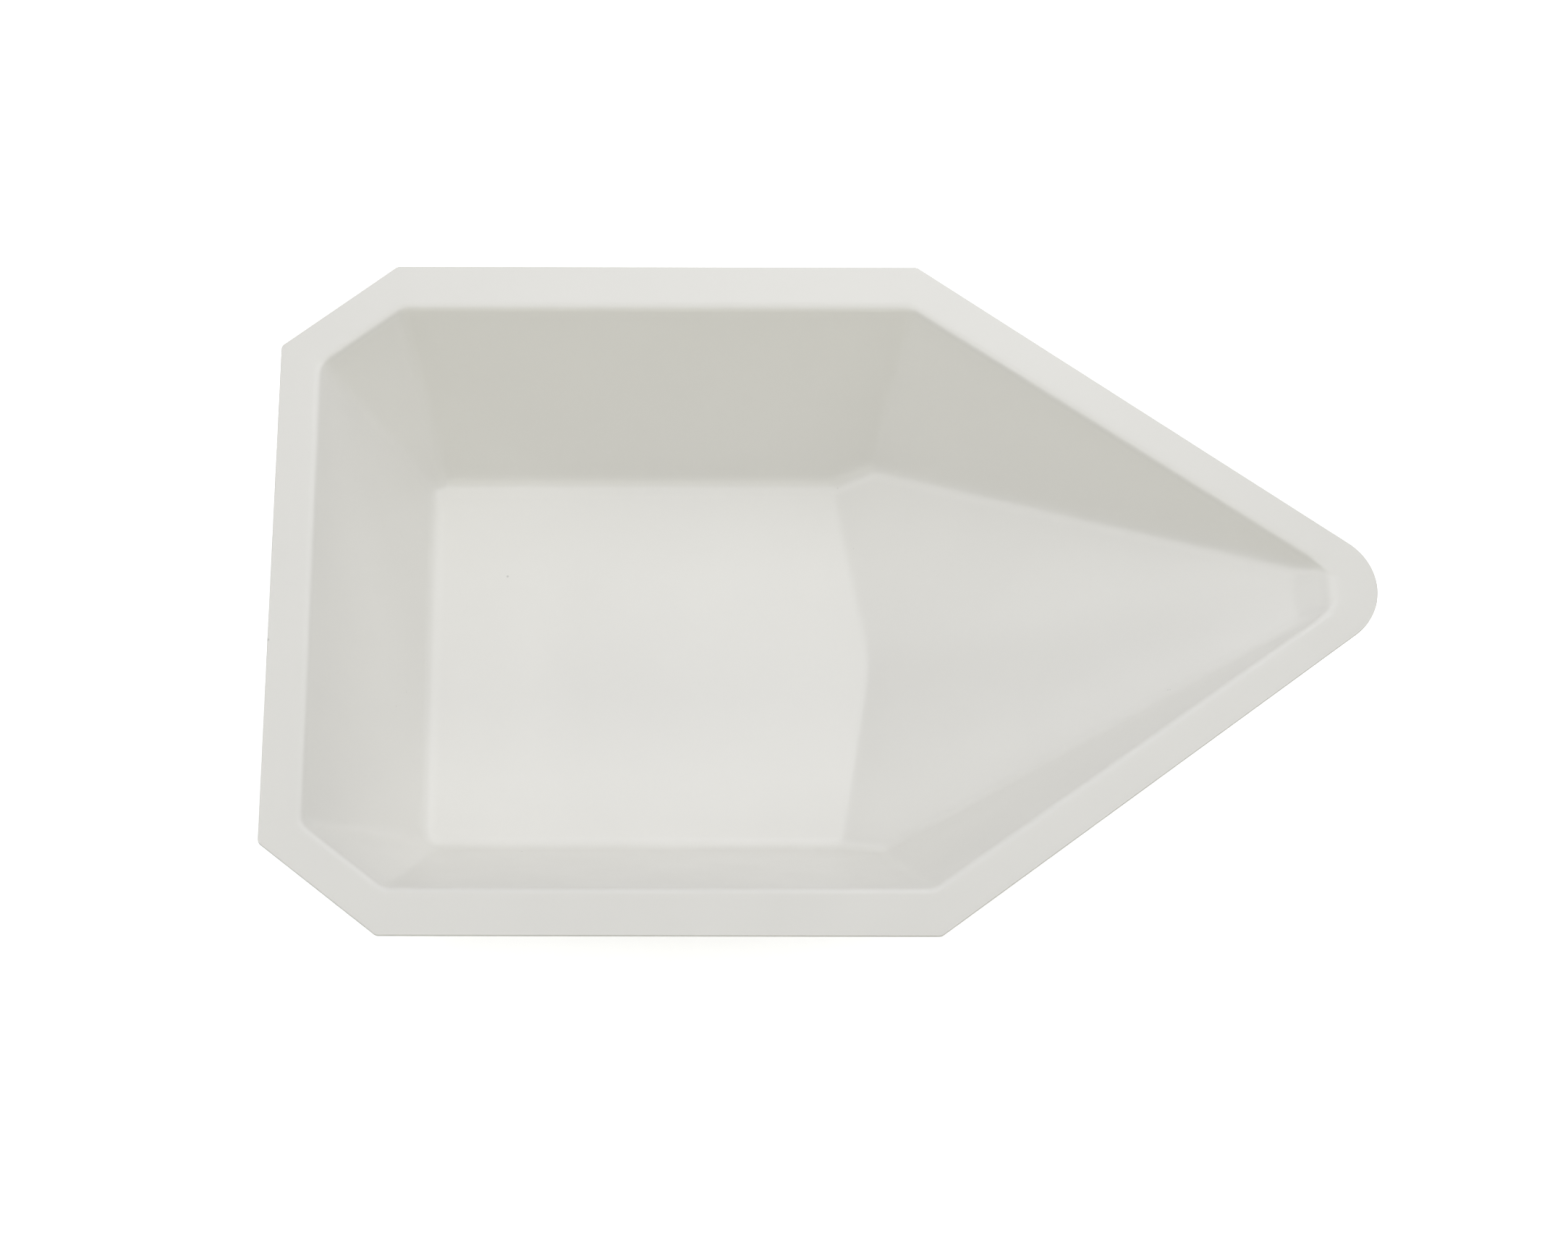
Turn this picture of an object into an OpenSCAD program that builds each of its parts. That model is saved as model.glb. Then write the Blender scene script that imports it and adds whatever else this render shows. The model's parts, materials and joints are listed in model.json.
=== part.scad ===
// Weighing boat: one thin plastic sheet, vacuum formed into a shallow pan with a flat rim.
// Sloping walls run down to a flat floor, and a ramp rises from the floor to a pouring nose.
// X runs along the boat with the nose at +X, Y runs across it and Z is up.
// The origin is on the bench, under the middle of the boat's length and width.

/* [Outline] */
// Length over the rim, from the back edge to the tip of the nose
boat_l = 96.5; // [84:0.5:130]
// Width over the rim
boat_w = 63; // [54:0.5:84]
// Height of the rim's top above the bench
boat_h = 18.6; // [15:0.1:24]
// Length of the back edge, between the two cut corners
back_w = 46.8; // [36:0.2:50]
// Length of each cut corner, measured along the boat
corner_l = 10.2; // [6:0.2:14]
// Length of each straight side
side_l = 47.2; // [38:0.2:52]
// Radius of the rounded tip of the nose
nose_r = 5.3; // [4:0.1:7]
// Radius of the other corners of the outline
edge_r = 0.6; // [0.3:0.1:1.5]

/* [Rim] */
// Width of the rim along the back
rim_back = 3.5; // [3:0.1:5]
// Width of the rim along the cut corners
rim_corner = 3.5; // [3:0.1:5]
// Width of the rim along the straight sides
rim_side = 4.1; // [3:0.1:5]
// Width of the rim along the spout, next to the straight sides
rim_spout = 3.65; // [3:0.05:4.5]
// Width of the rim at the tip of the nose
rim_nose = 4.2; // [3.5:0.1:5]
// Angle by which the rim narrows along the spout, towards the nose
rim_taper = 0.8; // [0:0.1:1.5]

/* [Sheet] */
// Thickness of the sheet
sheet_t = 0.4; // [0.3:0.05:0.6]
// Lean of every wall from upright
draft = 27.3; // [22:0.1:32]
// Inside radius where walls, floor and ramp meet
fillet_r = 1.9; // [1.5:0.1:3]
// Radius over the fold from the rim down into the wall, on the top of the sheet
fold_r = 1; // [0.8:0.1:1.5]
// Radius of the fold's corners, seen from above
turn_r = 2; // [1.5:0.1:4]
// Radius of its two corners at the nose
nose_turn = 0.8; // [0.5:0.1:1.2]

/* [Floor and ramp] */
// Length of the floor along the middle, from the back wall to the foot of the ramp
floor_l = 40.6; // [34:0.2:46]
// Distance by which the foot of the ramp comes back at the sides, as a shallow V
ramp_v = 3.1; // [1:0.1:5]
// Length of the steeper lip at the top of the ramp
lip_l = 3.6; // [2:0.1:5]
// Slope of the lip
lip_angle = 32; // [28:0.5:38]

/* [Hidden] */

// Turn of one facet round a corner in plan, and facets round a ball and over the fold
facet_angle = 7.5;
ball_fn = 48;
fold_steps = 6;
// Least radius that a corner keeps when its outline moves inwards, and least half length
// that stays straight across the nose
least_r = 0.2;
least_flat = 0.05;
// Height by which the fold passes into the rim, and the pan into the fold
lap = 0.01;
pan_lap = 0.08;
// Slack when a corner is tested against a surface, and when three surfaces are nearly parallel
snap = 0.001;
parallel = 0.001;

back_x = -boat_l / 2;
nose_x = boat_l / 2;
side_y = boat_w / 2;
shoulder = [back_x + corner_l + side_l, side_y];
corner_end = [back_x, back_w / 2];

// A straight edge in plan is [angle of its outward normal, distance from the origin].
function facing(angle) = [cos(angle), sin(angle)];
function edge_through(angle, point) = [angle, facing(angle) * point];

// A whole run of edges from the nose round to the back, mirrored along the other side
function both_sides(half, back) = concat(
    half,
    [back],
    [for (i = [len(half) - 1:-1:0]) [-half[i][0], half[i][1]]]
);

// The spout's edge is the tangent from the shoulder to the round nose.
to_shoulder = shoulder - [nose_x - nose_r, 0];
spout_angle = atan2(to_shoulder[1], to_shoulder[0]) - acos(nose_r / norm(to_shoulder));
corner_angle = 180 - atan2(corner_l, side_y - corner_end[1]);
rim_edges = both_sides(
    [
        edge_through(spout_angle, shoulder),
        [90, side_y],
        edge_through(corner_angle, corner_end),
    ],
    [180, -back_x]
);
rim_radii = concat([for (i = [1:6]) edge_r], [nose_r]);

// The walls meet the level of the rim along these lines, a rim's width inside the outline.
fold_nose = [0, nose_x - rim_nose];
fold_spout = edge_through(spout_angle + rim_taper, shoulder - rim_spout * facing(spout_angle));
fold_side = [90, side_y - rim_side];
fold_corner = edge_through(corner_angle, corner_end - rim_corner * facing(corner_angle));
fold_back = [180, -back_x - rim_back];
fold_edges = concat([fold_nose], both_sides([fold_spout, fold_side, fold_corner], fold_back));

// Where two edges cross once both have moved inwards by a distance
function crossing(a, b, inset) =
    let (p = a[1] - inset, q = b[1] - inset, s = sin(b[0] - a[0]))
    [p * sin(b[0]) - q * sin(a[0]), q * cos(a[0]) - p * cos(b[0])] / s;

// The short fold across the nose may leave less room for a corner at each of its ends.
nose_room = crossing(fold_nose, fold_spout, 0)[1] - least_flat;
nose_turn_r = min(nose_turn, nose_room / tan(fold_spout[0] / 2));
fold_radii = concat([nose_turn_r], [for (i = [1:6]) turn_r], [nose_turn_r]);

// The closed outline of a run of edges with every corner rounded, grown outwards
function rounded(edges, radii, grow = 0) = [
    for (i = [0:len(edges) - 1])
    let (
        a = edges[i],
        b = edges[(i + 1) % len(edges)],
        turn = (b[0] - a[0] + 360) % 360,
        steps = 2 * ceil(turn / (2 * facet_angle)),
        radius = max(radii[i] + grow, least_r)
    )
    for (k = [0:steps])
    crossing(a, b, radius - grow) + radius * facing(a[0] + turn * k / steps)
];

// A plane is [outward unit normal, distance from the origin], here moved inwards.
function plane(normal, offset, inset) =
    [normal / norm(normal), offset / norm(normal) - inset];
function meet(a, b, c) =
    (a[1] * cross(b[0], c[0]) + b[1] * cross(c[0], a[0]) + c[1] * cross(a[0], b[0]))
    / (a[0] * cross(b[0], c[0]));

// The surfaces inside the pan: walls, floor, the two halves of the ramp, and the lip. The lip
// touches the arc of the fold at the nose, and would reach the level of the rim at lip_x.
lean = tan(draft);
wall_run = lean * (boat_h - sheet_t);
floor_y = fold_side[1] - wall_run;
foot_x = wall_run - fold_back[1] + floor_l;
lip_rise = tan(lip_angle);
lip_x = fold_nose[1] + fold_r * (tan((90 - draft) / 2) - tan(lip_angle / 2));
ramp_rise = (boat_h - lip_l * lip_rise - sheet_t) / (lip_x - lip_l - foot_x);
ramp_tilt = ramp_rise * ramp_v / floor_y;
function wall_plane(edge, inset) =
    plane([cos(edge[0]), sin(edge[0]), -lean], edge[1] - lean * boat_h, inset);
function floor_plane(inset) = plane([0, 0, -1], -sheet_t, inset);
function ramp_plane(side, inset) =
    plane([ramp_rise, side * ramp_tilt, -1], ramp_rise * foot_x - sheet_t, inset);

function lip_plane(inset) = plane([lip_rise, 0, -1], lip_rise * lip_x - boat_h, inset);
function slopes(inset) = [lip_plane(inset), ramp_plane(1, inset), ramp_plane(-1, inset)];
function walls(inset) = [for (i = [1:len(fold_edges) - 1]) wall_plane(fold_edges[i], inset)];

// Every corner where three planes meet, and no other cuts it off
function room(point, planes) = min([for (q = planes) q[1] - q[0] * point]);
function corners(planes) =
    let (last = len(planes) - 1)
    [
        for (i = [0:last - 2], j = [i + 1:last - 1], k = [j + 1:last])
        let (a = planes[i], b = planes[j], c = planes[k])
        if (abs(a[0] * cross(b[0], c[0])) > parallel)
        let (corner = meet(a, b, c))
        if (room(corner, planes) > -snap)
        corner
    ];

// The fold is an arc in section, from upright over the rim (0) to square to the wall.
// depth is how far below the top skin of the sheet it runs.
wall_angle = 90 - draft;
fold_tangent = fold_r * tan(wall_angle / 2);
function fold_grow(angle, depth) = fold_tangent - (fold_r - depth) * sin(angle);
function fold_z(angle, depth) = boat_h - fold_r + (fold_r - depth) * cos(angle);
function ring(grow, z) = [for (p = rounded(fold_edges, fold_radii, grow)) [p[0], p[1], z]];

// Rings of equally many points, stacked upwards into one closed solid
module loft(rings) {
    n = len(rings[0]);
    top = len(rings) - 1;
    walls = [
        for (j = [0:top - 1], i = [0:n - 1])
        let (k = (i + 1) % n, low = j * n, high = low + n)
        each [[low + i, high + i, high + k], [low + i, high + k, low + k]]
    ];
    ends = [[for (i = [0:n - 1]) i], [for (i = [n - 1:-1:0]) top * n + i]];
    polyhedron([for (r = rings) each r], concat(walls, ends), convexity = 4);
}

// The flare of the fold, from inside the pan up to a given height
module flare(depth, top_z) {
    start = fold_grow(wall_angle, depth);
    rings = [
        for (k = [fold_steps:-1:0])
        let (angle = wall_angle * k / fold_steps)
        ring(fold_grow(angle, depth), fold_z(angle, depth) + lap)
    ];
    loft(concat(
        [ring(start - fold_r, fold_z(wall_angle, depth) - fold_r)],
        rings,
        [ring(fold_grow(0, depth), top_z)]
    ));
}

// Everything above the ramp and the lip, up to well over the rim
module over_slopes(depth) {
    block = [
        [[1, 0, 0], nose_x],
        [[-1, 0, 0], -back_x],
        [[0, 1, 0], side_y],
        [[0, -1, 0], side_y],
        [[0, 0, 1], 2 * boat_h],
    ];
    points = corners(concat(slopes(lap - depth), block));
    hull()
        polyhedron(points, [[for (i = [0:len(points) - 1]) i]]);
}

// At the nose the lip runs up into the fold, so the flare stops where it meets the lip.
module mouth(depth, top_z) {
    intersection() {
        flare(depth, top_z);
        over_slopes(depth);
    }
}

// A section across the walls and the lip at a height, grown outwards by depth
function pan_ring(depth, z) =
    let (
        grow = depth / cos(draft) - lean * (boat_h - z),
        nose = lip_x + depth / sin(lip_angle) - (boat_h - z) / lip_rise,
        others = [for (i = [1:len(fold_edges) - 1]) fold_edges[i]]
    )
    [for (p = rounded(concat([[0, nose - grow]], others), fold_radii, grow)) [p[0], p[1], z]];

// The hollow of the pan below the fold, grown by depth to give its outside.
// A ball in every corner, touching the three surfaces that meet there, rounds its inside edges.
module pan(depth) {
    top_z = fold_z(wall_angle, depth) + pan_lap;
    centres = corners(concat(walls(fillet_r), [floor_plane(fillet_r)], slopes(fillet_r)));
    hull() {
        for (centre = centres)
            translate(centre)
                sphere(r = (fillet_r + depth) / cos(180 / ball_fn), $fn = ball_fn);
        loft([pan_ring(depth, top_z - lap), pan_ring(depth, top_z)]);
    }
}

// Everything within the outline of the rim, between two heights
module outline_block(bottom_z, top_z) {
    translate([0, 0, bottom_z])
        linear_extrude(top_z - bottom_z)
            polygon(rounded(rim_edges, rim_radii));
}

module boat() {
    mid_rim = boat_h - sheet_t / 2;
    color("whitesmoke")
        difference() {
            union() {
                outline_block(boat_h - sheet_t, boat_h);
                mouth(sheet_t, mid_rim);
                // The balls at the nose reach past the rim, so the outside stops within it.
                intersection() {
                    pan(sheet_t);
                    outline_block(-sheet_t, mid_rim);
                }
            }
            mouth(0, boat_h + sheet_t);
            pan(0);
        }
}

boat();
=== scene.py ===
"""A pouring weighing boat, formed from one thin sheet of white polystyrene.

A flat blank is drawn over a former by a Geometry Nodes tree: every point of the blank rises to the
mould, corners are rounded as if a ball had rolled along them, and the rim is folded out flat.
Solidify gives the sheet its thickness and Bevel dulls its cut edge.
"""

import json
import math
from itertools import combinations

import bmesh
import bpy
from bpy.props import FloatProperty, FloatVectorProperty, IntProperty, PointerProperty
from mathutils import Matrix, Vector

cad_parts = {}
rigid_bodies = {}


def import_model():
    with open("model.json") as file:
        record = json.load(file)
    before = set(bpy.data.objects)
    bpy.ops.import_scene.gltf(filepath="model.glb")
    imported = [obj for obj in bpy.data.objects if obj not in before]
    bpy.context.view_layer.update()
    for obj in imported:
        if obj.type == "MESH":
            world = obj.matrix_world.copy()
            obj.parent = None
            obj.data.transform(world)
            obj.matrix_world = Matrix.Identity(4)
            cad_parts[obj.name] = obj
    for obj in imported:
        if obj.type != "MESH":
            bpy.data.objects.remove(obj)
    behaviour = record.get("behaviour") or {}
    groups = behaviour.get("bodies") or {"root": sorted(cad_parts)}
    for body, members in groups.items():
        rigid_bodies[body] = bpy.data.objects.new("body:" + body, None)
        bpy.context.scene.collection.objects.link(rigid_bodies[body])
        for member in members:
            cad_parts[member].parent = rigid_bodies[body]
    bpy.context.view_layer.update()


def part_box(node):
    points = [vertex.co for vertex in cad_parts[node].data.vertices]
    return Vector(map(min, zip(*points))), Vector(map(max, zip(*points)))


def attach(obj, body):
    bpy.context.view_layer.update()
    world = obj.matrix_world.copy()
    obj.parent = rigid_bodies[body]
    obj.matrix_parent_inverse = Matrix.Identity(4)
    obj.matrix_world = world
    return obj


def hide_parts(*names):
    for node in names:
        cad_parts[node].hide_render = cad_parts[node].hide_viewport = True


bl_info = {
    "name": "Weighing boat",
    "version": (1, 0, 0),
    "blender": (4, 5, 0),
    "location": "3D View > Sidebar > Weighing boat",
    "description": "Forms a pouring weighing boat from a thin plastic sheet and sets its stage",
    "category": "Object",
}

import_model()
LOW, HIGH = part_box("boat")
MM = 0.001


def linear(hex_colour):
    """An sRGB hex colour, such as "#e0dfdb", as linear RGBA."""
    shades = [int(hex_colour[i : i + 2], 16) / 255 for i in (1, 3, 5)]
    return [s / 12.92 if s <= 0.04045 else ((s + 0.055) / 1.055) ** 2.4 for s in shades] + [1.0]


# --- Sizes and colours that a user may change ---------------------------------------------------


class BoatSizes(bpy.types.PropertyGroup):
    """Sizes of the formed sheet."""

    length: FloatProperty(
        name="Length", description="Over the rim, from the back to the tip of the nose",
        default=HIGH.x - LOW.x, min=0.05, unit="LENGTH",
    )
    width: FloatProperty(
        name="Width", description="Over the rim", default=HIGH.y - LOW.y, min=0.03, unit="LENGTH"
    )
    height: FloatProperty(
        name="Height", description="From the bench to the top of the rim",
        default=HIGH.z, min=0.01, unit="LENGTH",
    )
    back_width: FloatProperty(
        name="Back width", description="Back edge, between the two cut corners",
        default=46.8 * MM, unit="LENGTH",
    )
    corner_length: FloatProperty(
        name="Corner length", description="Each cut corner, measured along the boat",
        default=10.2 * MM, unit="LENGTH",
    )
    side_length: FloatProperty(
        name="Side length", description="Each straight side", default=47.2 * MM, unit="LENGTH"
    )
    nose_radius: FloatProperty(
        name="Nose radius", description="Rounded tip of the nose", default=5.3 * MM, unit="LENGTH"
    )
    edge_radius: FloatProperty(
        name="Edge radius", description="The other corners of the outline",
        default=0.6 * MM, unit="LENGTH",
    )
    rim_back: FloatProperty(
        name="Rim, back", description="Rim along the back", default=3.5 * MM, unit="LENGTH"
    )
    rim_corner: FloatProperty(
        name="Rim, corners", description="Rim along the cut corners",
        default=3.5 * MM, unit="LENGTH",
    )
    rim_side: FloatProperty(
        name="Rim, sides", description="Rim along the straight sides",
        default=4.1 * MM, unit="LENGTH",
    )
    rim_spout: FloatProperty(
        name="Rim, spout", description="Rim along the spout, next to the sides",
        default=3.65 * MM, unit="LENGTH",
    )
    rim_nose: FloatProperty(
        name="Rim, nose", description="Rim at the tip of the nose",
        default=4.2 * MM, unit="LENGTH",
    )
    rim_taper: FloatProperty(
        name="Rim taper", description="How the rim narrows along the spout",
        default=math.radians(0.8), subtype="ANGLE",
    )
    sheet: FloatProperty(
        name="Sheet", description="Thickness of the sheet", default=0.4 * MM, unit="LENGTH",
        precision=5,
    )
    draft: FloatProperty(
        name="Draft", description="Lean of every wall from upright",
        default=math.radians(27.3), subtype="ANGLE",
    )
    ball_radius: FloatProperty(
        name="Fillet radius", description="Inside radius where walls, floor and ramp meet",
        default=1.9 * MM, unit="LENGTH",
    )
    fold_radius: FloatProperty(
        name="Fold radius", description="Top of the sheet, from the rim down into the wall",
        default=1.0 * MM, unit="LENGTH",
    )
    nose_fold_radius: FloatProperty(
        name="Nose fold radius", description="Where the ramp runs out into the rim",
        default=3.0 * MM, unit="LENGTH",
    )
    turn_radius: FloatProperty(
        name="Turn radius", description="Corners of the fold, seen from above",
        default=2.0 * MM, unit="LENGTH",
    )
    nose_turn_radius: FloatProperty(
        name="Nose turn radius", description="Corners of the fold at the nose, seen from above",
        default=0.8 * MM, unit="LENGTH",
    )
    floor_length: FloatProperty(
        name="Floor length", description="Along the middle, from the back wall to the ramp",
        default=40.65 * MM, unit="LENGTH",
    )
    ramp_vee: FloatProperty(
        name="Ramp vee", description="How far the foot of the ramp comes back at the sides",
        default=3.1 * MM, unit="LENGTH",
    )
    valley: FloatProperty(
        name="Valley", description="Half width of the rounding between the ramp's two halves",
        default=2.5 * MM, unit="LENGTH",
    )
    lip_length: FloatProperty(
        name="Lip length", description="Steeper end of the ramp at the nose, along the boat",
        default=3.6 * MM, unit="LENGTH",
    )
    lip_angle: FloatProperty(
        name="Lip angle", description="Slope of the lip",
        default=math.radians(32.0), subtype="ANGLE",
    )
    ripple: FloatProperty(
        name="Ripple", description="Depth of the slow waves that forming leaves in the sheet",
        default=0.04 * MM, unit="LENGTH", precision=5,
    )
    seed: IntProperty(name="Seed", description="Picks the pattern of the waves", default=3)


class BoatFinish(bpy.types.PropertyGroup):
    """Colours and gloss of the polystyrene."""

    pan_colour: FloatVectorProperty(
        name="Pan colour", description="White where the sheet is drawn thin", subtype="COLOR",
        size=3, default=linear("#deddd8")[:3],
    )
    # The rim's white is darker than the pan's as painted shade, standing in for less light shining
    # through the full-thickness sheet
    rim_painted_shade_colour: FloatVectorProperty(
        name="Rim colour", description="White of the rim, at the sheet's full thickness",
        subtype="COLOR", size=3, default=linear("#d8d7d2")[:3],
    )
    roughness: FloatProperty(
        name="Roughness", description="Satin skin", default=0.33, subtype="FACTOR"
    )


class StageSettings(bpy.types.PropertyGroup):
    """Light and view."""

    azimuth: FloatProperty(
        name="Azimuth", description="Camera, from straight across the boat",
        default=math.radians(-0.341), subtype="ANGLE",
    )
    elevation: FloatProperty(
        name="Elevation", description="Camera above the bench",
        default=math.radians(68.0), subtype="ANGLE",
    )
    roll: FloatProperty(
        name="Roll", description="Camera about its own axis",
        default=math.radians(0.423), subtype="ANGLE",
    )
    distance: FloatProperty(
        name="Distance", description="Camera from its aim", default=290.34 * MM, unit="LENGTH"
    )
    light: FloatProperty(name="Light", description="Overall level", default=1.0)


# --- Node helper and colours -------------------------------------------------------------------


def add_node(tree, kind, links=None, **settings):
    """Adds a node with its settings, and links or sets its inputs by name or number."""
    node = tree.nodes.new(kind)
    for name, value in settings.items():
        setattr(node, name, value)
    for socket, source in (links or {}).items():
        if isinstance(source, bpy.types.Node):
            source = source.outputs[0]
        if isinstance(source, bpy.types.NodeSocket):
            tree.links.new(source, node.inputs[socket])
        else:
            node.inputs[socket].default_value = source
    return node


# --- Outline in plan -------------------------------------------------------------------------


def facing(angle):
    """Unit vector in plan."""
    return Vector((math.cos(angle), math.sin(angle)))


def edge_through(angle, point):
    """A straight edge: angle of its outward normal and distance from the origin."""
    return angle, facing(angle).dot(point)


def crossing(a, b, inset):
    """Where two edges cross once both have moved inwards."""
    p, q, s = a[1] - inset, b[1] - inset, math.sin(b[0] - a[0])
    return Vector(
        (p * math.sin(b[0]) - q * math.sin(a[0]), q * math.cos(a[0]) - p * math.cos(b[0]))
    ) / s


def half_edges(sizes):
    """Edges of the outline and of the fold from the nose round to the back, on the +Y side."""
    shoulder = Vector((sizes.corner_length + sizes.side_length - sizes.length / 2, sizes.width / 2))
    corner = Vector((-sizes.length / 2, sizes.back_width / 2))
    to_shoulder = shoulder - Vector((sizes.length / 2 - sizes.nose_radius, 0))
    spout = math.atan2(to_shoulder.y, to_shoulder.x) - math.acos(
        sizes.nose_radius / to_shoulder.length
    )
    cut = math.pi - math.atan2(sizes.corner_length, shoulder.y - corner.y)
    outline = [
        (0.0, sizes.length / 2),
        edge_through(spout, shoulder),
        (math.pi / 2, sizes.width / 2),
        edge_through(cut, corner),
        (math.pi, sizes.length / 2),
    ]
    fold = [
        (0.0, sizes.length / 2 - sizes.rim_nose),
        edge_through(spout + sizes.rim_taper, shoulder - sizes.rim_spout * facing(spout)),
        (math.pi / 2, sizes.width / 2 - sizes.rim_side),
        edge_through(cut, corner - sizes.rim_corner * facing(cut)),
        (math.pi, sizes.length / 2 - sizes.rim_back),
    ]
    return outline, fold


def corner_points(a, b, radius, steps=12):
    """The rounded corner between two edges, as points."""
    centre = crossing(a, b, radius)
    return [centre + radius * facing(a[0] + (b[0] - a[0]) * k / steps) for k in range(steps + 1)]


def sections(edges, radii):
    """Half an outline from the nose to the back, cut into corners and straight runs."""
    corners = [corner_points(a, b, r) for a, b, r in zip(edges, edges[1:], radii)]
    parts = [[Vector((edges[0][1], 0)), *corners[0]]]
    for before, after in zip(corners, corners[1:]):
        parts += [[before[-1], after[0]], after]
    parts.append([corners[-1][-1], Vector((-edges[-1][1], 0))])
    return parts


def along(points, fraction):
    """The point at a fraction of the length of a run of points."""
    lengths = [(b - a).length for a, b in zip(points, points[1:])]
    left = fraction * sum(lengths)
    for a, b, length in zip(points, points[1:], lengths):
        if left <= length and length > 0:
            return a.lerp(b, left / length)
        left -= length
    return points[-1]


# Columns in each section from the nose to the back, and how strongly they crowd to its start.
# They crowd on the side, next to the shoulder, where the foot of the ramp meets the wall.
COLUMNS = ((12, 1.0), (64, 1.0), (8, 1.0), (96, 1.5), (8, 1.0), (16, 1.0), (8, 1.0), (28, 1.0))
# Where the rows start on the middle line, at the nose, the shoulder and the back
SPINE = (15 * MM, 9 * MM, -20 * MM)
# Rows as shares of the way from the middle line to the fold, and from the fold to the edge
FLOOR_SHARE, FLOOR_ROWS, WALL_ROWS = 0.54, 16, 48
FOLD_IN = (0.0105, 0.0070, 0.0035)
FOLD_OUT = (0.0, 0.03, 0.06, 0.09, 0.12, 0.15, 0.2, 0.3, 0.5, 0.72, 0.9, 0.96, 1.0)
# Points of the blank that are nearer to each other than this become one.
WELD = 1e-6


def blank_columns(sizes):
    """For each column on the +Y side: its start on the middle line, its fold and its edge."""
    outline, fold = half_edges(sizes)
    rim_runs = sections(outline, [sizes.nose_radius] + 3 * [sizes.edge_radius])
    fold_runs = sections(fold, [sizes.nose_turn_radius] + 3 * [sizes.turn_radius])
    nose, shoulder, back = SPINE
    # Where the columns of each section start and end: tip, spout, shoulder, side, then the back
    spine = [(nose, nose), (nose, shoulder), (shoulder, shoulder), (shoulder, back)]
    spine += 4 * [(back, back)]
    columns = []
    for rim, turn, (first, last), (count, crowd) in zip(rim_runs, fold_runs, spine, COLUMNS):
        for k in range(count):
            share = (k / count) ** crowd
            start = Vector((first + (last - first) * share, 0))
            columns.append((start, along(turn, share), along(rim, share)))
    columns.append((Vector((back, 0)), fold_runs[-1][-1], rim_runs[-1][-1]))
    return columns


def blank_rows():
    """(share of the way to the fold, share of the way on to the edge) for each row."""
    rows = [(FLOOR_SHARE * k / FLOOR_ROWS, 0.0) for k in range(FLOOR_ROWS)]
    top = 1 - FOLD_IN[0]
    rows += [(FLOOR_SHARE + (top - FLOOR_SHARE) * k / WALL_ROWS, 0.0) for k in range(WALL_ROWS)]
    rows += [(1 - share, 0.0) for share in FOLD_IN]
    return rows + [(1.0, share) for share in FOLD_OUT]


def flat_blank(sizes):
    """The blank sheet, flat, with its points in rows that follow the fold and the edge."""
    half = blank_columns(sizes)
    mirrored = [[Vector((p.x, -p.y)) for p in column] for column in reversed(half[1:-1])]
    columns = half + mirrored
    rows = blank_rows()
    points = [
        (*start.lerp(fold, inner).lerp(edge, outer), 0.0)
        for inner, outer in rows
        for start, fold, edge in columns
    ]
    n = len(columns)
    faces = [
        (r * n + c, (r + 1) * n + c, (r + 1) * n + (c + 1) % n, r * n + (c + 1) % n)
        for r in range(len(rows) - 1)
        for c in range(n)
    ]
    mesh = bpy.data.meshes.new("blank")
    mesh.from_pydata(points, [], faces)
    mesh.validate()
    work = bmesh.new()
    work.from_mesh(mesh)
    bmesh.ops.remove_doubles(work, verts=work.verts, dist=WELD)
    bmesh.ops.recalc_face_normals(work, faces=work.faces)
    if sum(face.normal.z for face in work.faces) < 0:
        bmesh.ops.reverse_faces(work, faces=work.faces)
    work.to_mesh(mesh)
    work.free()
    return mesh


# --- Former that the blank is drawn over --------------------------------------------------------

# Slack in metres when a corner is tested, and the least volume that three normals may span
SNAP, PARALLEL = 1e-6, 1e-3
# The ramp's two halves and the facets of the rounded valley between them, by their side tilt
VALLEY = (-1.0, -0.67, -0.33, 0.0, 0.33, 0.67, 1.0)
# The walls go on past the rim by this much, so that the whole rim finds them below it
PAST_RIM = 12 * MM


def pan_surfaces(sizes, inset):
    """Walls, lip, ramp, floor and lid as (outward normal, distance), all moved inwards by inset."""
    nose, *walls = half_edges(sizes)[1]
    side, back = walls[1][1], walls[-1][1]
    walls += [(-angle, reach) for angle, reach in walls[:-1]]
    lean = math.tan(sizes.draft)
    run = lean * (sizes.height - sizes.sheet)
    surfaces = [
        (Vector((*facing(angle), -lean)), reach - lean * sizes.height) for angle, reach in walls
    ]
    # The lip runs into the top of the fold, further out than a wall does.
    steep = math.tan(sizes.lip_angle)
    bend = math.tan(math.pi / 4 - sizes.draft / 2) - math.tan(sizes.lip_angle / 2)
    lip_edge = nose[1] + sizes.fold_radius * bend
    surfaces.append((Vector((steep, 0, -1)), steep * lip_edge - sizes.height))
    foot = run - back + sizes.floor_length
    ramp_top = sizes.height - sizes.lip_length * steep
    rise = (ramp_top - sizes.sheet) / (lip_edge - sizes.lip_length - foot)
    tilt = rise * sizes.ramp_vee / (side - run)
    for share in VALLEY:
        lift = tilt * sizes.valley / 2 * (1 - share**2)
        surfaces.append((Vector((rise, share * tilt, -1)), rise * foot - sizes.sheet - lift))
    surfaces.append((Vector((0, 0, -1)), -sizes.sheet))
    surfaces.append((Vector((0, 0, 1)), sizes.height + PAST_RIM))
    return [(normal.normalized(), reach / normal.length - inset) for normal, reach in surfaces]


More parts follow.
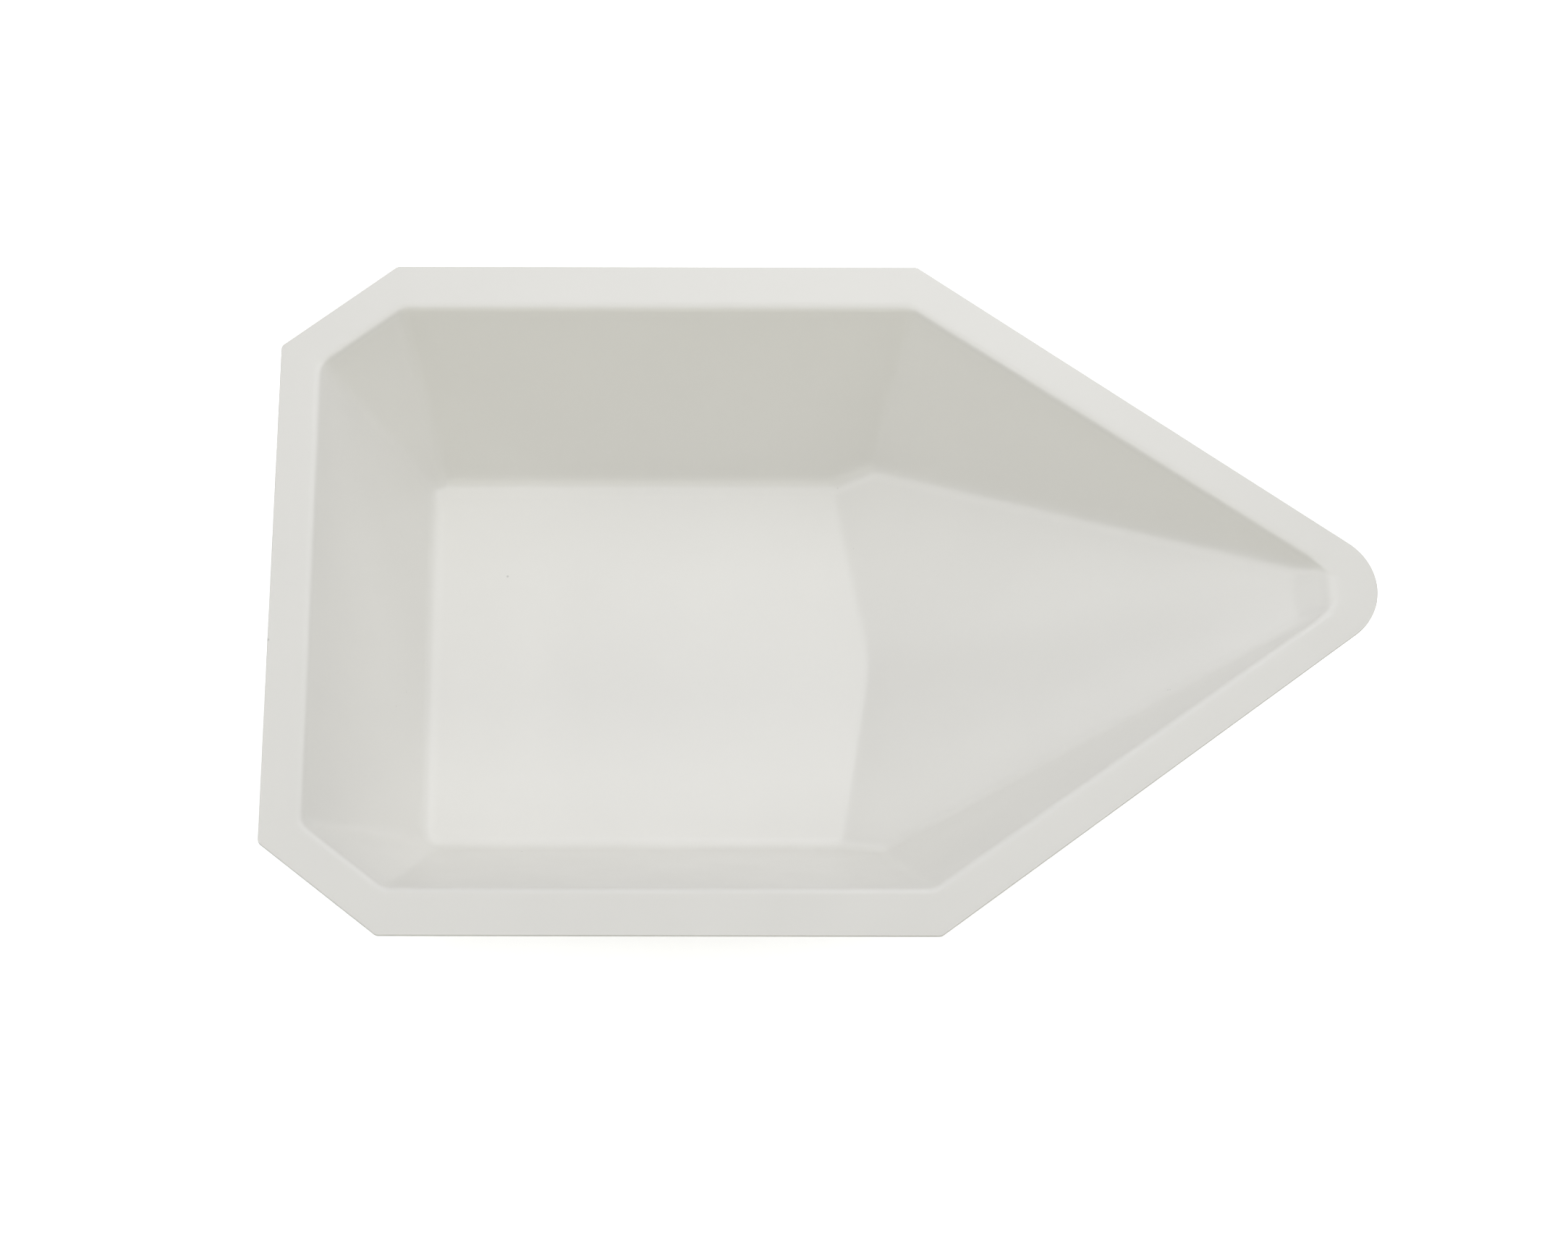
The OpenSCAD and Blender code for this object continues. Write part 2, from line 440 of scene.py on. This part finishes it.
def corners_object(name, surfaces):
    """An object of loose points: every corner where three surfaces meet and no other cuts in."""
    corners = []
    for (na, a), (nb, b), (nc, c) in combinations(surfaces, 3):
        volume = na.dot(nb.cross(nc))
        if abs(volume) < PARALLEL:
            continue
        corner = (a * nb.cross(nc) + b * nc.cross(na) + c * na.cross(nb)) / volume
        if all(reach - normal.dot(corner) > -SNAP for normal, reach in surfaces):
            corners.append(corner)
    mesh = bpy.data.meshes.new(name)
    mesh.from_pydata(corners, [], [])
    item = bpy.data.objects.new(name, mesh)
    bpy.context.scene.collection.objects.link(item)
    return item


def new_tree(name, sockets):
    """An empty Geometry Nodes tree with named inputs and one geometry output."""
    tree = bpy.data.node_groups.new(name, "GeometryNodeTree")
    for label, kind, value in sockets:
        socket = tree.interface.new_socket(label, in_out="INPUT", socket_type="NodeSocket" + kind)
        if value is not None:
            socket.default_value = value
    tree.interface.new_socket("Geometry", in_out="OUTPUT", socket_type="NodeSocketGeometry")
    return tree


# The wide fold gives way to the plain one as the sheet turns to face the sides: between these
# sines. It takes over from the plain one as the sheet comes to lie level: between these cosines.
SIDEWAYS, LEVEL = (0.12, 0.4), (0.5, 0.8)
# Length of the slow waves in the sheet
WAVE = 34 * MM


def rounded_pan(tree, made, spot):
    """Nodes for the pan over each point of the blank: its skin, and which way that faces."""
    # Each point rises from below until it meets the pan with its sharp, unrounded corners.
    below = add_node(
        tree, "ShaderNodeVectorMath", {0: spot, 1: (0, 0, PAST_RIM)}, operation="SUBTRACT"
    )
    pan = add_node(tree, "GeometryNodeObjectInfo", {"Object": made["Pan Corners"]})
    pan_hull = add_node(tree, "GeometryNodeConvexHull", {0: pan.outputs["Geometry"]})
    hit = add_node(
        tree, "GeometryNodeRaycast",
        {"Target Geometry": pan_hull, "Source Position": below, "Ray Direction": (0, 0, 1),
         "Ray Length": 1.0},
    ).outputs["Hit Position"]

    # The ball's centre can be anywhere in the hull of its corner places. Its skin is the pan.
    track = add_node(tree, "GeometryNodeObjectInfo", {"Object": made["Ball Corners"]})
    track_hull = add_node(tree, "GeometryNodeConvexHull", {0: track.outputs["Geometry"]})
    ball = add_node(
        tree, "GeometryNodeProximity", {0: track_hull, "Sample Position": hit},
        target_element="FACES",
    )
    away = add_node(tree, "ShaderNodeVectorMath", {0: hit, 1: ball}, operation="SUBTRACT")
    outward = add_node(tree, "ShaderNodeVectorMath", {0: away}, operation="NORMALIZE")
    reach = add_node(
        tree, "ShaderNodeVectorMath", {0: outward, "Scale": made["Ball Radius"]},
        operation="SCALE",
    )
    skin = add_node(tree, "ShaderNodeVectorMath", {0: ball, 1: reach}, operation="ADD")
    return skin, outward


def folded_rim(tree, made, skin, outward):
    """Nodes for the sheet's drop below the rim, and its share of rim: 0 in the pan, 1 outside."""
    # How steep the pan is: 0 where it is level
    faces = add_node(tree, "ShaderNodeSeparateXYZ", {0: outward}).outputs
    cosine = add_node(tree, "ShaderNodeMath", {0: faces["Z"], 1: -1.0}, operation="MULTIPLY")
    cosine_2 = add_node(tree, "ShaderNodeMath", {0: faces["Z"], 1: 2.0}, operation="POWER")
    sine_2 = add_node(tree, "ShaderNodeMath", {0: 1.0, 1: cosine_2}, operation="SUBTRACT")
    sine = add_node(tree, "ShaderNodeMath", {0: sine_2}, operation="SQRT")
    slope = add_node(tree, "ShaderNodeMath", {0: sine, 1: cosine}, operation="DIVIDE")

    # The fold is an arc that touches the pan and the level of the rim. It is wider at the nose,
    # where the lip is less steep than a wall and doesn't face the sides.
    turned = add_node(tree, "ShaderNodeMath", {0: faces["Y"]}, operation="ABSOLUTE")
    ahead = add_node(
        tree, "ShaderNodeMapRange",
        {"Value": turned, "From Min": SIDEWAYS[0], "From Max": SIDEWAYS[1], "To Min": 1.0,
         "To Max": 0.0},
    )
    gentle = add_node(
        tree, "ShaderNodeMapRange", {"Value": cosine, "From Min": LEVEL[0], "From Max": LEVEL[1]}
    )
    at_nose = add_node(tree, "ShaderNodeMath", {0: ahead, 1: gentle}, operation="MULTIPLY")
    radius = add_node(
        tree, "ShaderNodeMapRange",
        {"Value": at_nose, "To Min": made["Fold Radius"], "To Max": made["Nose Fold Radius"]},
    )

    # How far the arc reaches outside the line where the pan would meet the rim's level, how far
    # outside that line each point lies, and so how far it is inside the arc's outer end
    versed = add_node(tree, "ShaderNodeMath", {0: 1.0, 1: cosine}, operation="SUBTRACT")
    half_tan = add_node(tree, "ShaderNodeMath", {0: versed, 1: sine}, operation="DIVIDE")
    tangent = add_node(tree, "ShaderNodeMath", {0: half_tan, 1: radius}, operation="MULTIPLY")
    level = add_node(tree, "ShaderNodeSeparateXYZ", {0: skin}).outputs["Z"]
    above = add_node(
        tree, "ShaderNodeMath", {0: level, 1: made["Rim Height"]}, operation="SUBTRACT"
    )
    outside = add_node(tree, "ShaderNodeMath", {0: above, 1: slope}, operation="DIVIDE")
    short = add_node(tree, "ShaderNodeMath", {0: tangent, 1: outside}, operation="SUBTRACT")
    inside = add_node(tree, "ShaderNodeMath", {0: short, 1: 0.0}, operation="MAXIMUM")

    # The drop is the arc's own, or the pan's once the arc has ended.
    arc_run = add_node(tree, "ShaderNodeMath", {0: sine, 1: radius}, operation="MULTIPLY")
    in_arc = add_node(tree, "ShaderNodeMath", {0: inside, 1: arc_run}, operation="LESS_THAN")
    radius_2 = add_node(tree, "ShaderNodeMath", {0: radius, 1: 2.0}, operation="POWER")
    inside_2 = add_node(tree, "ShaderNodeMath", {0: inside, 1: 2.0}, operation="POWER")
    up_2 = add_node(tree, "ShaderNodeMath", {0: radius_2, 1: inside_2}, operation="SUBTRACT")
    arc_up = add_node(tree, "ShaderNodeMath", {0: up_2}, operation="SQRT")
    arc_drop = add_node(tree, "ShaderNodeMath", {0: radius, 1: arc_up}, operation="SUBTRACT")
    pan_drop = add_node(tree, "ShaderNodeMath", {0: above, 1: -1.0}, operation="MULTIPLY")
    drop = add_node(
        tree, "GeometryNodeSwitch", {0: in_arc, 1: pan_drop, 2: arc_drop}, input_type="FLOAT"
    )
    on_rim = add_node(tree, "ShaderNodeMapRange", {"Value": outside, "From Max": tangent})
    return drop, on_rim


def drawing_tree():
    """Draws a flat blank over the former: rounded pan, folded rim, slow ripple."""
    tree = new_tree(
        "Draw sheet over former",
        (
            ("Blank", "Geometry", None),
            ("Pan Corners", "Object", None),
            ("Ball Corners", "Object", None),
            ("Ball Radius", "Float", 1.9 * MM),
            ("Rim Height", "Float", 18.6 * MM),
            ("Fold Radius", "Float", 1.0 * MM),
            ("Nose Fold Radius", "Float", 3.0 * MM),
            ("Ripple", "Float", 0.04 * MM),
            ("Seed", "Float", 3.0),
            ("Material", "Material", None),
        ),
    )
    made = add_node(tree, "NodeGroupInput").outputs
    rim = made["Rim Height"]
    spot = add_node(tree, "GeometryNodeInputPosition")
    skin, outward = rounded_pan(tree, made, spot)
    drop, on_rim = folded_rim(tree, made, skin, outward)

    # On the rim a point keeps its place in plan. In the pan it keeps the skin's.
    placed = add_node(tree, "ShaderNodeMix", {0: on_rim, 4: skin, 5: spot}, data_type="VECTOR")
    plan = add_node(tree, "ShaderNodeSeparateXYZ", {0: placed.outputs[1]}).outputs
    height = add_node(tree, "ShaderNodeMath", {0: rim, 1: drop}, operation="SUBTRACT")
    formed = add_node(
        tree, "ShaderNodeCombineXYZ", {"X": plan["X"], "Y": plan["Y"], "Z": height}
    )

    # Ripple goes into the pan and down from the rim, so that the sheet never grows.
    waves = add_node(
        tree, "ShaderNodeTexNoise",
        {"Vector": formed, "W": made["Seed"], "Scale": 1 / WAVE, "Detail": 1.5},
        noise_dimensions="4D",
    )
    depth = add_node(tree, "ShaderNodeMath", {0: waves, 1: made["Ripple"]}, operation="MULTIPLY")
    inward = add_node(tree, "ShaderNodeVectorMath", {0: outward, "Scale": -1.0}, operation="SCALE")
    push_to = add_node(
        tree, "ShaderNodeMix", {0: on_rim, 4: inward, 5: (0, 0, -1)}, data_type="VECTOR"
    )
    push = add_node(
        tree, "ShaderNodeVectorMath", {0: push_to.outputs[1], "Scale": depth}, operation="SCALE"
    )
    sheet = add_node(
        tree, "GeometryNodeSetPosition", {0: made["Blank"], "Position": formed, "Offset": push}
    )

    # How deep each point was drawn, from 0 on the rim to nearly 1 on the floor
    drawn = add_node(tree, "ShaderNodeMath", {0: drop, 1: rim}, operation="DIVIDE")
    marked = add_node(
        tree, "GeometryNodeStoreNamedAttribute", {0: sheet, "Name": "drawn", "Value": drawn},
        data_type="FLOAT", domain="POINT",
    )
    smooth = add_node(tree, "GeometryNodeSetShadeSmooth", {0: marked})
    real = add_node(tree, "GeometryNodeRealizeInstances", {0: smooth})
    done = add_node(tree, "GeometryNodeSetMaterial", {0: real, "Material": made["Material"]})
    add_node(tree, "NodeGroupOutput", {0: done})
    return tree


# --- Finish ------------------------------------------------------------------------------------

# Share of the full depth over which the rim's painted shade gives way to the pan's white, where the
# sheet is drawn thin
SHADE_FADE_DEPTH = 0.04
# Sizes of the patterns in the sheet: clouds in its white, patches of gloss, print of the former
CLOUD, GLOSS_PATCH, PRINT, PRINT_DEPTH = 11 * MM, 6 * MM, 0.5 * MM, 0.002 * MM
# How much white the clouds leave, and how far the roughness swings either way
CLOUD_WHITE, GLOSS_SWING = 0.985, 0.04
# Span of values that a noise texture mostly keeps to
NOISE_LOW, NOISE_HIGH = 0.3, 0.7
# Grey grains caught in the skin of the sheet: place and radius in millimetres, and how much of
# the white is left in the middle, out to GRAIN_CORE of the radius
GRAIN_CORE = 0.4
GRAINS = (
    (-28.33, 8.63, 0.41, 0.15, 0.74),
    (-26.54, -18.85, 2.07, 0.14, 0.70),
    (-48.20, -5.04, 18.58, 0.16, 0.74),
    (30.50, -7.17, 12.34, 0.10, 0.88),
    (30.69, -7.17, 12.44, 0.10, 0.88),
    (-37.95, -6.26, 5.48, 0.11, 0.90),
    (-37.20, -4.31, 4.03, 0.09, 0.90),
    (2.73, 17.60, 0.75, 0.11, 0.88),
    (4.06, 11.38, 0.76, 0.09, 0.90),
)


def with_grains(tree, place, shade):
    """Darkens the shade round every grain, softly at its edge."""
    for x, y, z, radius, left in GRAINS:
        away = add_node(
            tree, "ShaderNodeVectorMath", {0: place, 1: Vector((x, y, z)) * MM},
            operation="DISTANCE",
        ).outputs["Value"]
        grain = add_node(
            tree, "ShaderNodeMapRange",
            {"Value": away, "From Min": GRAIN_CORE * radius * MM, "From Max": radius * MM,
             "To Min": left, "To Max": 1.0},
            interpolation_type="SMOOTHSTEP",
        )
        shade = add_node(tree, "ShaderNodeMath", {0: shade, 1: grain}, operation="MULTIPLY")
    return shade


def white_polystyrene(finish):
    """High-impact polystyrene, vacuum formed: a dense white with a smooth satin skin.

    The white is a little cloudy, and the rim is painted a little darker than the pan: painted
    shade. The skin's gloss is uneven, and it has a very fine grain.
    """
    material = bpy.data.materials.new("polystyrene_vacuum_formed")
    material.use_nodes = True
    tree = material.node_tree
    tree.nodes.clear()
    place = add_node(tree, "ShaderNodeTexCoord").outputs["Object"]
    # Cloudiness of the pigment, about a centimetre across
    cloud = add_node(
        tree, "ShaderNodeTexNoise", {"Vector": place, "Scale": 1 / CLOUD, "Detail": 3.0}
    )
    shade = add_node(
        tree, "ShaderNodeMapRange",
        {"Value": cloud, "From Min": NOISE_LOW, "From Max": NOISE_HIGH, "To Min": CLOUD_WHITE,
         "To Max": 1.0},
    )
    # Painted light and shade: the rim gets a darker white than the pan. The lighter pan stands in
    # for light from the bench that shines through the sheet where it was drawn thin inside the
    # fold.
    drawn = add_node(
        tree, "ShaderNodeAttribute", attribute_type="GEOMETRY", attribute_name="drawn"
    ).outputs["Fac"]
    thin = add_node(tree, "ShaderNodeMapRange", {"Value": drawn, "From Max": SHADE_FADE_DEPTH})
    white = add_node(
        tree, "ShaderNodeMix",
        {0: thin, 6: (*finish.rim_painted_shade_colour, 1.0), 7: (*finish.pan_colour, 1.0)}, data_type="RGBA",
    )
    shade = with_grains(tree, place, shade)
    colour = add_node(
        tree, "ShaderNodeMix",
        {0: 1.0, 6: white.outputs[2], 7: shade}, data_type="RGBA", blend_type="MULTIPLY",
    )
    # The skin is glossier in some places than in others, as the mould left it.
    skin = add_node(
        tree, "ShaderNodeTexNoise", {"Vector": place, "Scale": 1 / GLOSS_PATCH, "Detail": 2.0}
    )
    roughness = add_node(
        tree, "ShaderNodeMapRange",
        {"Value": skin, "From Min": NOISE_LOW, "From Max": NOISE_HIGH,
         "To Min": finish.roughness - GLOSS_SWING, "To Max": finish.roughness + GLOSS_SWING},
    )
    # Fine grain of the former, printed through the soft sheet
    printed = add_node(
        tree, "ShaderNodeTexNoise", {"Vector": place, "Scale": 1 / PRINT, "Detail": 2.0}
    )
    relief = add_node(
        tree, "ShaderNodeBump", {"Strength": 1.0, "Distance": PRINT_DEPTH, "Height": printed}
    )
    shader = add_node(
        tree, "ShaderNodeBsdfPrincipled",
        {"Base Color": colour.outputs[2], "Roughness": roughness, "IOR": 1.59, "Normal": relief},
    )
    add_node(tree, "ShaderNodeOutputMaterial", {"Surface": shader})
    return material


# --- Operators ---------------------------------------------------------------------------------

# Dulled edge of the sheet where it was cut: its width, and the least angle that counts as an edge
CUT_EDGE, CUT_ANGLE = 0.06 * MM, math.radians(60)


class WEIGHING_OT_form_boat(bpy.types.Operator):
    """Forms the boat from its blank and stands it for the CAD node"""

    bl_idname = "weighing.form_boat"
    bl_label = "Form the boat"

    def execute(self, context):
        sizes, finish = context.scene.boat_sizes, context.scene.boat_finish
        blank = bpy.data.objects.new("blank", flat_blank(sizes))
        context.scene.collection.objects.link(blank)
        pan = corners_object("pan_corners", pan_surfaces(sizes, 0.0))
        ball = corners_object("ball_corners", pan_surfaces(sizes, sizes.ball_radius))
        tree = drawing_tree()
        values = {
            "Pan Corners": pan,
            "Ball Corners": ball,
            "Ball Radius": sizes.ball_radius,
            "Rim Height": sizes.height,
            "Fold Radius": sizes.fold_radius,
            "Nose Fold Radius": sizes.nose_fold_radius,
            "Ripple": sizes.ripple,
            "Seed": float(sizes.seed),
            "Material": white_polystyrene(finish),
        }
        draw = blank.modifiers.new("draw", "NODES")
        draw.node_group = tree
        for socket in tree.interface.items_tree:
            if socket.in_out == "INPUT" and socket.name in values:
                draw[socket.identifier] = values[socket.name]
        sheet = blank.modifiers.new("sheet", "SOLIDIFY")
        sheet.thickness, sheet.offset, sheet.use_even_offset = sizes.sheet, -1.0, True
        edge = blank.modifiers.new("cut_edge", "BEVEL")
        edge.width, edge.segments, edge.limit_method = CUT_EDGE, 2, "ANGLE"
        edge.angle_limit, edge.harden_normals = CUT_ANGLE, True

        context.view_layer.update()
        ready = blank.evaluated_get(context.evaluated_depsgraph_get())
        mesh = bpy.data.meshes.new_from_object(ready)
        if len(mesh.polygons) == 0:
            raise RuntimeError("the former gave no sheet")
        boat = bpy.data.objects.new("formed_sheet", mesh)
        context.scene.collection.objects.link(boat)
        for helper in (blank, pan, ball):
            bpy.data.objects.remove(helper)
        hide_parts("boat")
        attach(boat, "root")
        return {"FINISHED"}


# Soft boxes: name, azimuth and elevation in degrees, distance, width and height in metres, power
# in watts, and colour. Azimuth runs anticlockwise from the camera's side, seen from above.
LAMPS = (
    ("front_top", 0.0, 70.0, 1.0, 0.8, 0.8, 2.93, "#feffff"),
    ("front_low", 0.0, 20.0, 1.0, 0.6, 0.6, 1.806, "#fffde7"),
    ("nose_side", 90.0, 45.0, 1.0, 0.8, 0.8, 3.82, "#fdfdff"),
    ("back_side_low", 270.0, 20.0, 1.0, 0.6, 0.6, 2.30, "#fdfdff"),
    ("back_side_high", 270.0, 60.0, 0.45, 0.3, 0.3, 0.427, "#fdfdff"),
    ("far_strip", 180.0, 25.0, 1.0, 1.2, 0.2, 1.646, "#fdfdff"),
    ("far_close", 180.0, 60.0, 0.25, 0.16, 0.16, 0.124, "#fdfdff"),
    ("far_close_nose", 150.0, 35.0, 0.25, 0.16, 0.16, 0.0985, "#fdfdff"),
)
# The floor reaches FLOOR_HALF each way. Round the boat, as far as NEAR_FLOOR, it glows only a
# little for the camera, so that the shadow shows. From FAR_FLOOR on it is as white as the sky.
FLOOR_HALF, NEAR_FLOOR, FAR_FLOOR, NEAR_GLOW = 1.5, 0.15, 0.5, 0.5
# Camera: film width and lens in millimetres, shift as shares of the width, where it looks, and
# the nearest and furthest that it sees
FILM, LENS, SHIFT = 36.0, 71.65, (0.0950, 0.0065)
AIM, NEAREST, FURTHEST = Vector((-16.41, 3.60, 0.0)) * MM, 0.01, 10.0


def toward(azimuth, elevation):
    """Unit vector from the boat towards a place on the sky. Azimuth 0 is the -Y side."""
    level = math.cos(elevation)
    return Vector((math.sin(azimuth) * level, -math.cos(azimuth) * level, math.sin(elevation)))


def white_paper():
    """Matt white paper: plain and even, it fades into the sky but still takes a soft shadow."""
    paper = bpy.data.materials.new("paper_white_matt")
    paper.use_nodes = True
    tree = paper.node_tree
    tree.nodes.clear()
    place = add_node(tree, "ShaderNodeTexCoord").outputs["Object"]
    away = add_node(tree, "ShaderNodeVectorMath", {0: place}, operation="LENGTH").outputs["Value"]
    white = add_node(
        tree, "ShaderNodeMapRange",
        {"Value": away, "From Min": NEAR_FLOOR, "From Max": FAR_FLOOR, "To Min": NEAR_GLOW,
         "To Max": 1.0},
    )
    seen = add_node(tree, "ShaderNodeLightPath").outputs["Is Camera Ray"]
    glow = add_node(tree, "ShaderNodeMath", {0: seen, 1: white}, operation="MULTIPLY")
    shader = add_node(
        tree, "ShaderNodeBsdfPrincipled",
        {"Base Color": linear("#f2f2f2"), "Roughness": 0.9, "Emission Color": (1, 1, 1, 1),
         "Emission Strength": glow},
    )
    add_node(tree, "ShaderNodeOutputMaterial", {"Surface": shader})
    return paper


def floor_object():
    """The level floor under the boat."""
    mesh = bpy.data.meshes.new("floor")
    half = FLOOR_HALF
    corners = [(-half, -half, 0), (half, -half, 0), (half, half, 0), (-half, half, 0)]
    mesh.from_pydata(corners, [], [(0, 1, 2, 3)])
    mesh.materials.append(white_paper())
    return bpy.data.objects.new("floor", mesh)


def white_sky():
    """A world that is white for the camera and dark for the boat."""
    world = bpy.data.worlds.new("studio")
    world.use_nodes = True
    tree = world.node_tree
    tree.nodes.clear()
    seen = add_node(tree, "ShaderNodeLightPath").outputs["Is Camera Ray"]
    sky = add_node(tree, "ShaderNodeBackground", {"Color": (1, 1, 1, 1), "Strength": seen})
    add_node(tree, "ShaderNodeOutputWorld", {"Surface": sky})
    return world


def lamp_object(name, azimuth, elevation, distance, width, height, power, colour):
    """A soft box that faces the boat."""
    lamp = bpy.data.lights.new(name, "AREA")
    lamp.shape, lamp.size, lamp.size_y = "RECTANGLE", width, height
    lamp.energy = power
    lamp.color = linear(colour)[:3]
    item = bpy.data.objects.new(name, lamp)
    back = toward(math.radians(azimuth), math.radians(elevation))
    item.location = distance * back
    item.rotation_euler = back.to_track_quat("Z", "Y").to_euler()
    return item


def camera_object(stage):
    """The camera, aimed and rolled."""
    lens = bpy.data.cameras.new("camera")
    lens.sensor_width, lens.lens = FILM, LENS
    lens.shift_x, lens.shift_y = SHIFT
    lens.clip_start, lens.clip_end = NEAREST, FURTHEST
    camera = bpy.data.objects.new("camera", lens)
    back = toward(stage.azimuth, stage.elevation)
    right = Vector((0, 0, 1)).cross(back).normalized()
    up = back.cross(right)
    cosine, sine = math.cos(stage.roll), math.sin(stage.roll)
    axes = Matrix((cosine * right + sine * up, cosine * up - sine * right, back)).transposed()
    camera.matrix_world = Matrix.Translation(AIM + stage.distance * back) @ axes.to_4x4()
    return camera


class WEIGHING_OT_set_stage(bpy.types.Operator):
    """Sets a plain white floor, soft lamps and the camera"""

    bl_idname = "weighing.set_stage"
    bl_label = "Set the stage"

    def execute(self, context):
        scene = context.scene
        stage = scene.boat_stage
        objects = scene.collection.objects
        floor = floor_object()
        objects.link(floor)
        scene.world = white_sky()
        for *where, power, colour in LAMPS:
            objects.link(lamp_object(*where, power * stage.light, colour))
        camera = camera_object(stage)
        objects.link(camera)
        scene.camera = camera
        scene.view_settings.view_transform = "Standard"
        return {"FINISHED"}


class WEIGHING_PT_panel(bpy.types.Panel):
    """Sizes, finish and the steps that make the boat"""

    bl_idname = "WEIGHING_PT_panel"
    bl_label = "Weighing boat"
    bl_space_type = "VIEW_3D"
    bl_region_type = "UI"
    bl_category = "Weighing boat"

    def draw(self, context):
        for group, step in (
            (context.scene.boat_sizes, None),
            (context.scene.boat_finish, WEIGHING_OT_form_boat),
            (context.scene.boat_stage, WEIGHING_OT_set_stage),
        ):
            column = self.layout.column()
            for name in group.bl_rna.properties.keys():
                if name not in ("rna_type", "name"):
                    column.prop(group, name)
            if step:
                column.operator(step.bl_idname)


CLASSES = (
    BoatSizes,
    BoatFinish,
    StageSettings,
    WEIGHING_OT_form_boat,
    WEIGHING_OT_set_stage,
    WEIGHING_PT_panel,
)


def register():
    """Registers the classes and hangs the settings on the scene."""
    for item in CLASSES:
        bpy.utils.register_class(item)
    bpy.types.Scene.boat_sizes = PointerProperty(type=BoatSizes)
    bpy.types.Scene.boat_finish = PointerProperty(type=BoatFinish)
    bpy.types.Scene.boat_stage = PointerProperty(type=StageSettings)


def unregister():
    """Takes away what register added."""
    del bpy.types.Scene.boat_stage, bpy.types.Scene.boat_finish, bpy.types.Scene.boat_sizes
    for item in reversed(CLASSES):
        bpy.utils.unregister_class(item)


def main():
    """Makes the boat and its stage."""
    register()
    bpy.ops.weighing.form_boat()
    bpy.ops.weighing.set_stage()


if __name__ == "__main__":
    main()
